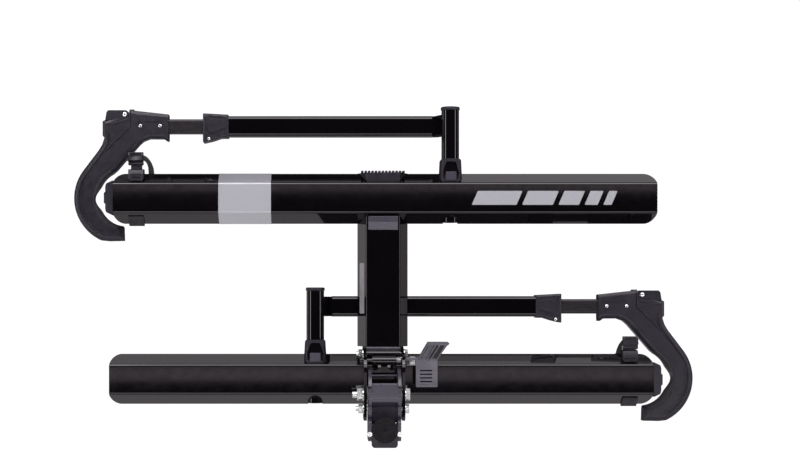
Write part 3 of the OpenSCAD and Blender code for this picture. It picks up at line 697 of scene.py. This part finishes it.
# ---------- arms ----------
def make_collar(side):
    """The clamp at the arm's end, with its S-shaped parting line and the chamfered top of the moulding."""
    place, node = arm_place(side), f"{side}_collar"
    face, depth = ARM_Y - 21, 42
    line = smooth_path([(540, -22), (527, -20), (512, -17), (500, -12), (490, -8.5), (480, -7.5)])
    cheek = smooth_path([(528, 30), (532, 14), (531, 0), (529, -12), (524, -19)])
    top = smooth_path([(480, 17), (500, 20), (520, 21.5), (540, 22)])
    cuts = [groove("line", line, 1.8, 1.2, face, place), groove("cheek", cheek, 1.4, 0.8, face, place),
            groove("top", top, 1.4, 0.8, face, place)]
    outline = [(482, 25), (538, 28), (538, -36), (530, -36), (514, -30.5), (498, -25), (482, -25)]
    soft = pillow("soft", falls(outline, 6, 2.6, 2), face - PROUD, face + depth + PROUD, place)
    mesh = carved(node, cuts, (soft,))
    mesh = modified(node, mesh, bevel(0.5))
    link_piece(f"{side}_collar_shell", mesh, BODY[node], SLOT[node], node)
    screw = screw_head("head", place, (525, face - 0.2, -28), 3.4, 1.6, 1)
    link_piece(f"{side}_collar_screw", screw, BODY[node], "zinc")
    outline = fillet([(487, -5), (503, -9), (518, -14.5), (526, -16), (528, 0), (525, 17), (503, 15.5),
                      (487, 12.5)], 4)
    pad = slab("pad", outline, face - 1.4, face + 2, place, 1.3, 5)
    link_piece(f"{side}_collar_pad", pad, BODY[node], SLOT[node])


def make_boot(side):
    """The rubber boot at the post's foot, with an arched recess and a small grey plate low in it."""
    place, node = tray_place(side), f"{side}_boot"
    face = 4
    corners = [(-17, 40), (17, 40), (18, 56), (10, 79), (-10, 79), (-18, 56)]
    arch = fillet([(POST_X + x, z) for x, z in corners], [3, 3, 6, 5, 5, 6])
    mesh = carved(node, (slab("arch", arch, face - 3, face + 3.2, place, 0.5, 2),))
    mesh = modified(node, mesh, bevel(1.3, 3))
    link_piece(f"{side}_boot_shell", mesh, BODY[node], SLOT[node], node)
    inlay = slab("inlay", inset(arch, 0.5), face + 2.4, face + 4, place, 0.4, 2)
    link_piece(f"{side}_boot_inlay", inlay, BODY[node], "gloss_black")
    plate = block("plate", (POST_X - 11.5, face + 0.9, 39), (POST_X + 11.5, face + 4.4, 57), place, 1.2)
    link_piece(f"{side}_boot_plate", plate, BODY[node], "grey_plastic", look="satin_black")


# ---------- trays ----------
def make_tray(side):
    """The tray with its long bends rounded, as a press brake leaves them."""
    node = f"{side}_tray"
    radius, longish = 2.8 * MM, 25 * MM
    gentlest, steepest = 0.35, 1.35     # radians between faces: a press-brake bend, but no cut edge
    bm = bmesh.new()
    bm.from_mesh(modified(node, frame["nodes"][node], *CLEAN))
    bends = [edge for edge in bm.edges
             if abs(edge.verts[0].co.x - edge.verts[1].co.x) > longish
             and len(edge.link_faces) == 2 and gentlest < edge.calc_face_angle() < steepest]
    bmesh.ops.bevel(bm, geom=bends, offset=radius, segments=6, affect="EDGES", profile=0.5)
    mesh = bpy.data.meshes.new(node)
    bm.to_mesh(mesh)
    bm.free()
    mesh = modified(node, mesh, bevel(0.6, angle=50))
    link_piece(f"{side}_tray_channel", mesh, BODY[node], SLOT[node], node)


# ---------- wheel straps ----------
STRAP_X = -532
STRAP = {"upper": (37, 0), "lower": (27, 6)}    # the tail's width, and how much lower its buckle is
STRAP_HALF, STRAP_BULGE, STRAP_T = 58, 19, 2.8
TRAY_D = 35


def make_strap(side):
    """Ladder strap: a band with a raised edge on both sides and rungs between, and its free tail."""
    place, node = tray_place(side), f"{side}_strap"
    tail, drop = STRAP[side]
    radius = (STRAP_HALF ** 2 + STRAP_BULGE ** 2) / (2 * STRAP_BULGE)
    centre = TRAY_D + 5 + STRAP_BULGE - radius
    reach = math.asin(STRAP_HALF / radius)

    def across(x0, x1, outer, inner, a0, a1, steps):
        rings = []
        for k in range(steps + 1):
            a = a0 + (a1 - a0) * k / steps
            rings.append([place(STRAP_X + x, centre + r * math.cos(a), r * math.sin(a))
                          for x, r in ((x0, inner), (x1, inner), (x1, outer), (x0, outer))])
        return mesh_of("band", *loft(rings))

    parts = [across(-12.5, 12.5, radius - 1.1, radius - STRAP_T, -reach, reach, 32)]
    for x0, x1 in ((-12.5, -9.7), (9.7, 12.5)):
        parts.append(across(x0, x1, radius, radius - STRAP_T + 0.2, -reach, reach, 32))
    rungs = 17
    for k in range(rungs):
        a = reach * (2 * (k + 0.5) / rungs - 1)
        parts.append(across(-9.9, 9.9, radius, radius - 1.4, a - 0.011, a + 0.011, 2))
    far = smooth_path([(tail, 54), (tail - 1.5, 66), (tail - 7, 80), (tail - 16, 91), (tail - 27, 96)])
    near = smooth_path([(tail - 27, 85), (tail - 19, 80), (tail - 14, 70), (tail - 12.5, 54)])
    free = [(STRAP_X + x, z - drop) if z > 54 else (STRAP_X + x, z) for x, z in far + near]
    parts.append(slab("tail", free, TRAY_D + 1.8, TRAY_D + 4.3, place, 0.9, 4))
    for i in range(3, len(near) - 2, 3):
        (x0, z0), (x1, z1) = near[i], far[len(far) - 1 - round(i * len(far) / len(near))]
        rung = [(STRAP_X + x0 + (x1 - x0) * t, z0 + (z1 - z0) * t - drop) for t in (0.16, 0.84)]
        parts.append(groove("rung", rung, 1.3, 1.2, TRAY_D + 1.4, place, 0.2))
    link_piece(f"{side}_ladder_strap", joined("strap", *parts), BODY[node], SLOT[node], node)


def make_buckle(side):
    """The buckle, its corners rounded as moulded, with its pin and grip ribs."""
    place, node = tray_place(side), f"{side}_buckle"
    drop = STRAP[side][1]
    pin_z = 76 - drop
    front = fillet([(-11, 33.5), (11, 33.5), (17, 44), (16, 64), (21, pin_z), (21, 94), (-21, 94),
                    (-21, pin_z), (-16, 64), (-17, 44)], [6, 6, 6, 0, 0, 4, 4, 0, 0, 6])
    soft = slab("soft", [(STRAP_X + x, z) for x, z in front], 4.5, 45, place, 2.5, 4)
    mesh = modified(node, carved(node, (), (soft,)), ("BEVEL", {"width": 0.8 * MM, "segments": 3}))
    link_piece(f"{side}_buckle_body", mesh, BODY[node], SLOT[node], node)
    ribs = [block("rib", (STRAP_X - 11, 2.6 + i, 41 + 5 * i), (STRAP_X + 11, 6.4 + i, 43 + 5 * i), place, 0.5)
            for i in range(3)]
    link_piece(f"{side}_buckle_ribs", joined("ribs", *ribs), BODY[node], SLOT[node])
    pin_r, around = 2.3, [2 * math.pi * k / 16 for k in range(16)]
    rings = [[place(STRAP_X + x, 12.5 + pin_r * math.cos(a), pin_z + pin_r * math.sin(a)) for a in around]
             for x in (-17.5, -17, 17, 17.5)]
    link_piece(f"{side}_buckle_pin", mesh_of("pin", *loft(rings)), BODY[node], "zinc")
    lever = f"{side}_buckle_lever"
    grips = [block("grip", (STRAP_X - 12, 2.2, low), (STRAP_X + 12, 5, low + 1.2), place, 0.4)
             for low in (91 - drop + 2.4 * i for i in range(3))]
    link_piece(f"{side}_lever_grips", joined("grips", *grips), BODY[lever], SLOT[lever])


# ---------- knob, spring and bolts ----------
def make_knob():
    """The tightening knob: a fluted rim, a stepped face and a dimple in the middle."""
    low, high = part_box("knob")
    centre = (low + high) / 2
    radius = (high.x - low.x) / 2 / MM

    def place(x, y, z):
        return Vector((centre.x + x * MM, low.y + y * MM, centre.z + z * MM))

    def flutes(angle, r, y):
        on_rim = r > radius - 1.2 and 3 < y < 16.5
        return -0.55 * (0.5 + 0.5 * math.cos(36 * angle)) if on_rim else 0

    dimple = [(0.01, 7), (1.5, 6.8), (1.8, 1.6), (2.6, 1.1), (4.4, 0.9), (5, 0.4), (6, 0.05)]
    face = [(17.5, 0.05), (18.1, 0.5), (19.1, 0.5), (19.7, 0.05), (24.4, 0), (25.6, 0.5), (26.5, 1.6)]
    rim = [(26.95, 3), (27, 3.4), (27, 8), (27, 12), (27, 16), (26.4, 17.4), (25, 18), (9, 19), (0.01, 19)]
    mesh = lathe("knob", dimple + face + rim, place, 288, flutes)
    link_piece("fluted_knob", mesh, BODY["knob"], SLOT["knob"], "knob", look="dull_black")


def make_pedal_pads():
    """Dark strips let into the pedal's slanted tread."""
    at, tilt, lean = joint_place("latch_release"), math.radians(38), 18 / 41
    edge_y, edge_z = -16, 4     # the tread's lower edge, from the shaft
    low, high = 2.5, 37

    def place(x, y, z):
        across = y * math.cos(tilt) - z * math.sin(tilt)
        up = y * math.sin(tilt) + z * math.cos(tilt)
        return at(x, across + edge_y, up + edge_z)

    strips = []
    for left, wide in ((74.6, 2), (92, 3.4), (99.8, 8.4)):
        outline = [(left + low * lean, low), (left + wide + low * lean, low),
                   (left + wide + high * lean, high), (left + high * lean, high)]
        strips.append(slab("strip", outline, -0.7, 0.4, place, 0.25, 2))
    link_piece("pedal_strips", joined("strips", *strips), BODY["pedal"], "gloss_black")


def make_spring():
    low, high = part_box("latch_spring")
    place = joint_place("latch_release")
    wire = 0.88
    turns, pitch = 5.2, 1.9
    start = (low.x - JOINT["latch_release"]["pos_m"][0]) / MM + wire
    radius = (high.z - low.z) / MM / 2 - wire
    mesh = coil("spring", radius, wire, pitch, turns, lambda x, y, z: place(start + x, y, z))
    link_piece("coiled_spring", mesh, BODY["latch_spring"], SLOT["latch_spring"], "latch_spring")


def make_threads():
    """Threads on the ends of the three bolts."""
    shown = 12
    bolts = (("pivot_thread", "pivot_bolt", 7, 2), ("stop_thread", "stop_bolt", 5, 1.6),
             ("top_thread", "top_bolts", 5, 1.6))
    for name, node, radius, pitch in bolts:
        low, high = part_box(node)
        y, z = (low.y + high.y) / 2 / MM, (low.z + high.z) / 2 / MM
        start = low.x / MM
        mesh = thread(name, radius + 0.05, 0.5, pitch, start, start + shown,
                      lambda a, b, along, y=y, z=z: Vector((along, y + a, z + b)) * MM)
        link_piece(name, mesh, BODY[node], "zinc")


def make_top_sleeve():
    """Painted spacer tube round the top bolt, between the pivot plates."""
    low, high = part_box("top_bolts")
    half = 36.8

    def place(a, x, b):
        return Vector((x * MM, (low.y + high.y) / 2 + a * MM, (low.z + high.z) / 2 + b * MM))

    profile = [(5.1, -half), (7.4, -half), (8, -half + 0.6), (8, half - 0.6), (7.4, half), (5.1, half)]
    link_piece("top_sleeve", lathe("sleeve", profile, place, 48), BODY["top_bolts"], "gloss_black")


# ---------- plain marks where the real one is printed ----------
def make_marks():
    """Slanted silver bars in place of lettering."""
    place = tray_place("upper")
    face, tall, lean = 0.12, 15, 13
    bars, x = [], 190
    for wide in (96, 66, 44, 28, 18):
        outline = fillet([(x, -tall), (x + wide, -tall), (x + wide + lean, tall), (x + lean, tall)], 2)
        bars.append(slab("bar", outline, -face, face, place, 0.05, 2))
        x += wide + 12
    link_piece("tray_mark", joined("bars", *bars), BODY["upper_tray"], "silver_band")


def make_label():
    """A blank pale label on the spine's left bevel."""
    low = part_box("spine")[0]
    web, half_width, flank_y = 35.5, 54.3, 30   # half the web, half the spine, and the bevel's depth
    flank_x = half_width - web
    length = math.hypot(flank_x, flank_y)
    along = Vector((-flank_x / length, flank_y / length, 0))
    out = Vector((-flank_y / length, -flank_x / length, 0))
    corner = Vector((-web * MM, low.y, 0))

    def place(x, y, z):
        return corner + along * (x * MM) - out * (y * MM) + Vector((0, 0, z * MM))

    outline = fillet([(9, 254), (27, 254), (27, 363), (9, 363)], 1.5)
    label = slab("label", outline, -0.25, 0.1, place, 0.06, 2)
    link_piece("spine_label", label, BODY["spine"], "silver_band", look="label")


for side in SIDES:
    make_hook(side)
    make_lining(side)
    make_lever_trim(side)
    make_hook_screws(side)
    make_collar(side)
    make_boot(side)
    make_tray(side)
    make_strap(side)
    make_buckle(side)
make_knob()
make_pedal_pads()
make_spring()
make_threads()
make_top_sleeve()
make_marks()
make_label()

# ---------- the CAD nodes that show ----------
LOOK = dict.fromkeys(("pivot_plates", "latch_pawl", "latch_shaft", "upper_axle", "lower_axle"), "gloss_black")
LOOK["spine_end_plug"] = "charcoal_plastic"
EDGE = {"spine": 1, "head_side_plates": 1, "pivot_plates": 0.8, "stinger": 1, "wedge_block": 1}
for side in SIDES:
    EDGE.update({f"{side}_hook_lever": 1.6, f"{side}_strap_pad": 2, f"{side}_buckle_lever": 1.2,
                 f"{side}_end_cap": 2.2})
for node, obj in frame["nodes"].items():
    if obj.hide_render:
        continue
    obj.data.materials.clear()
    obj.data.materials.append(MATERIALS[LOOK.get(node, SLOT[node])])
    soften(obj, EDGE.get(node, 0.6))
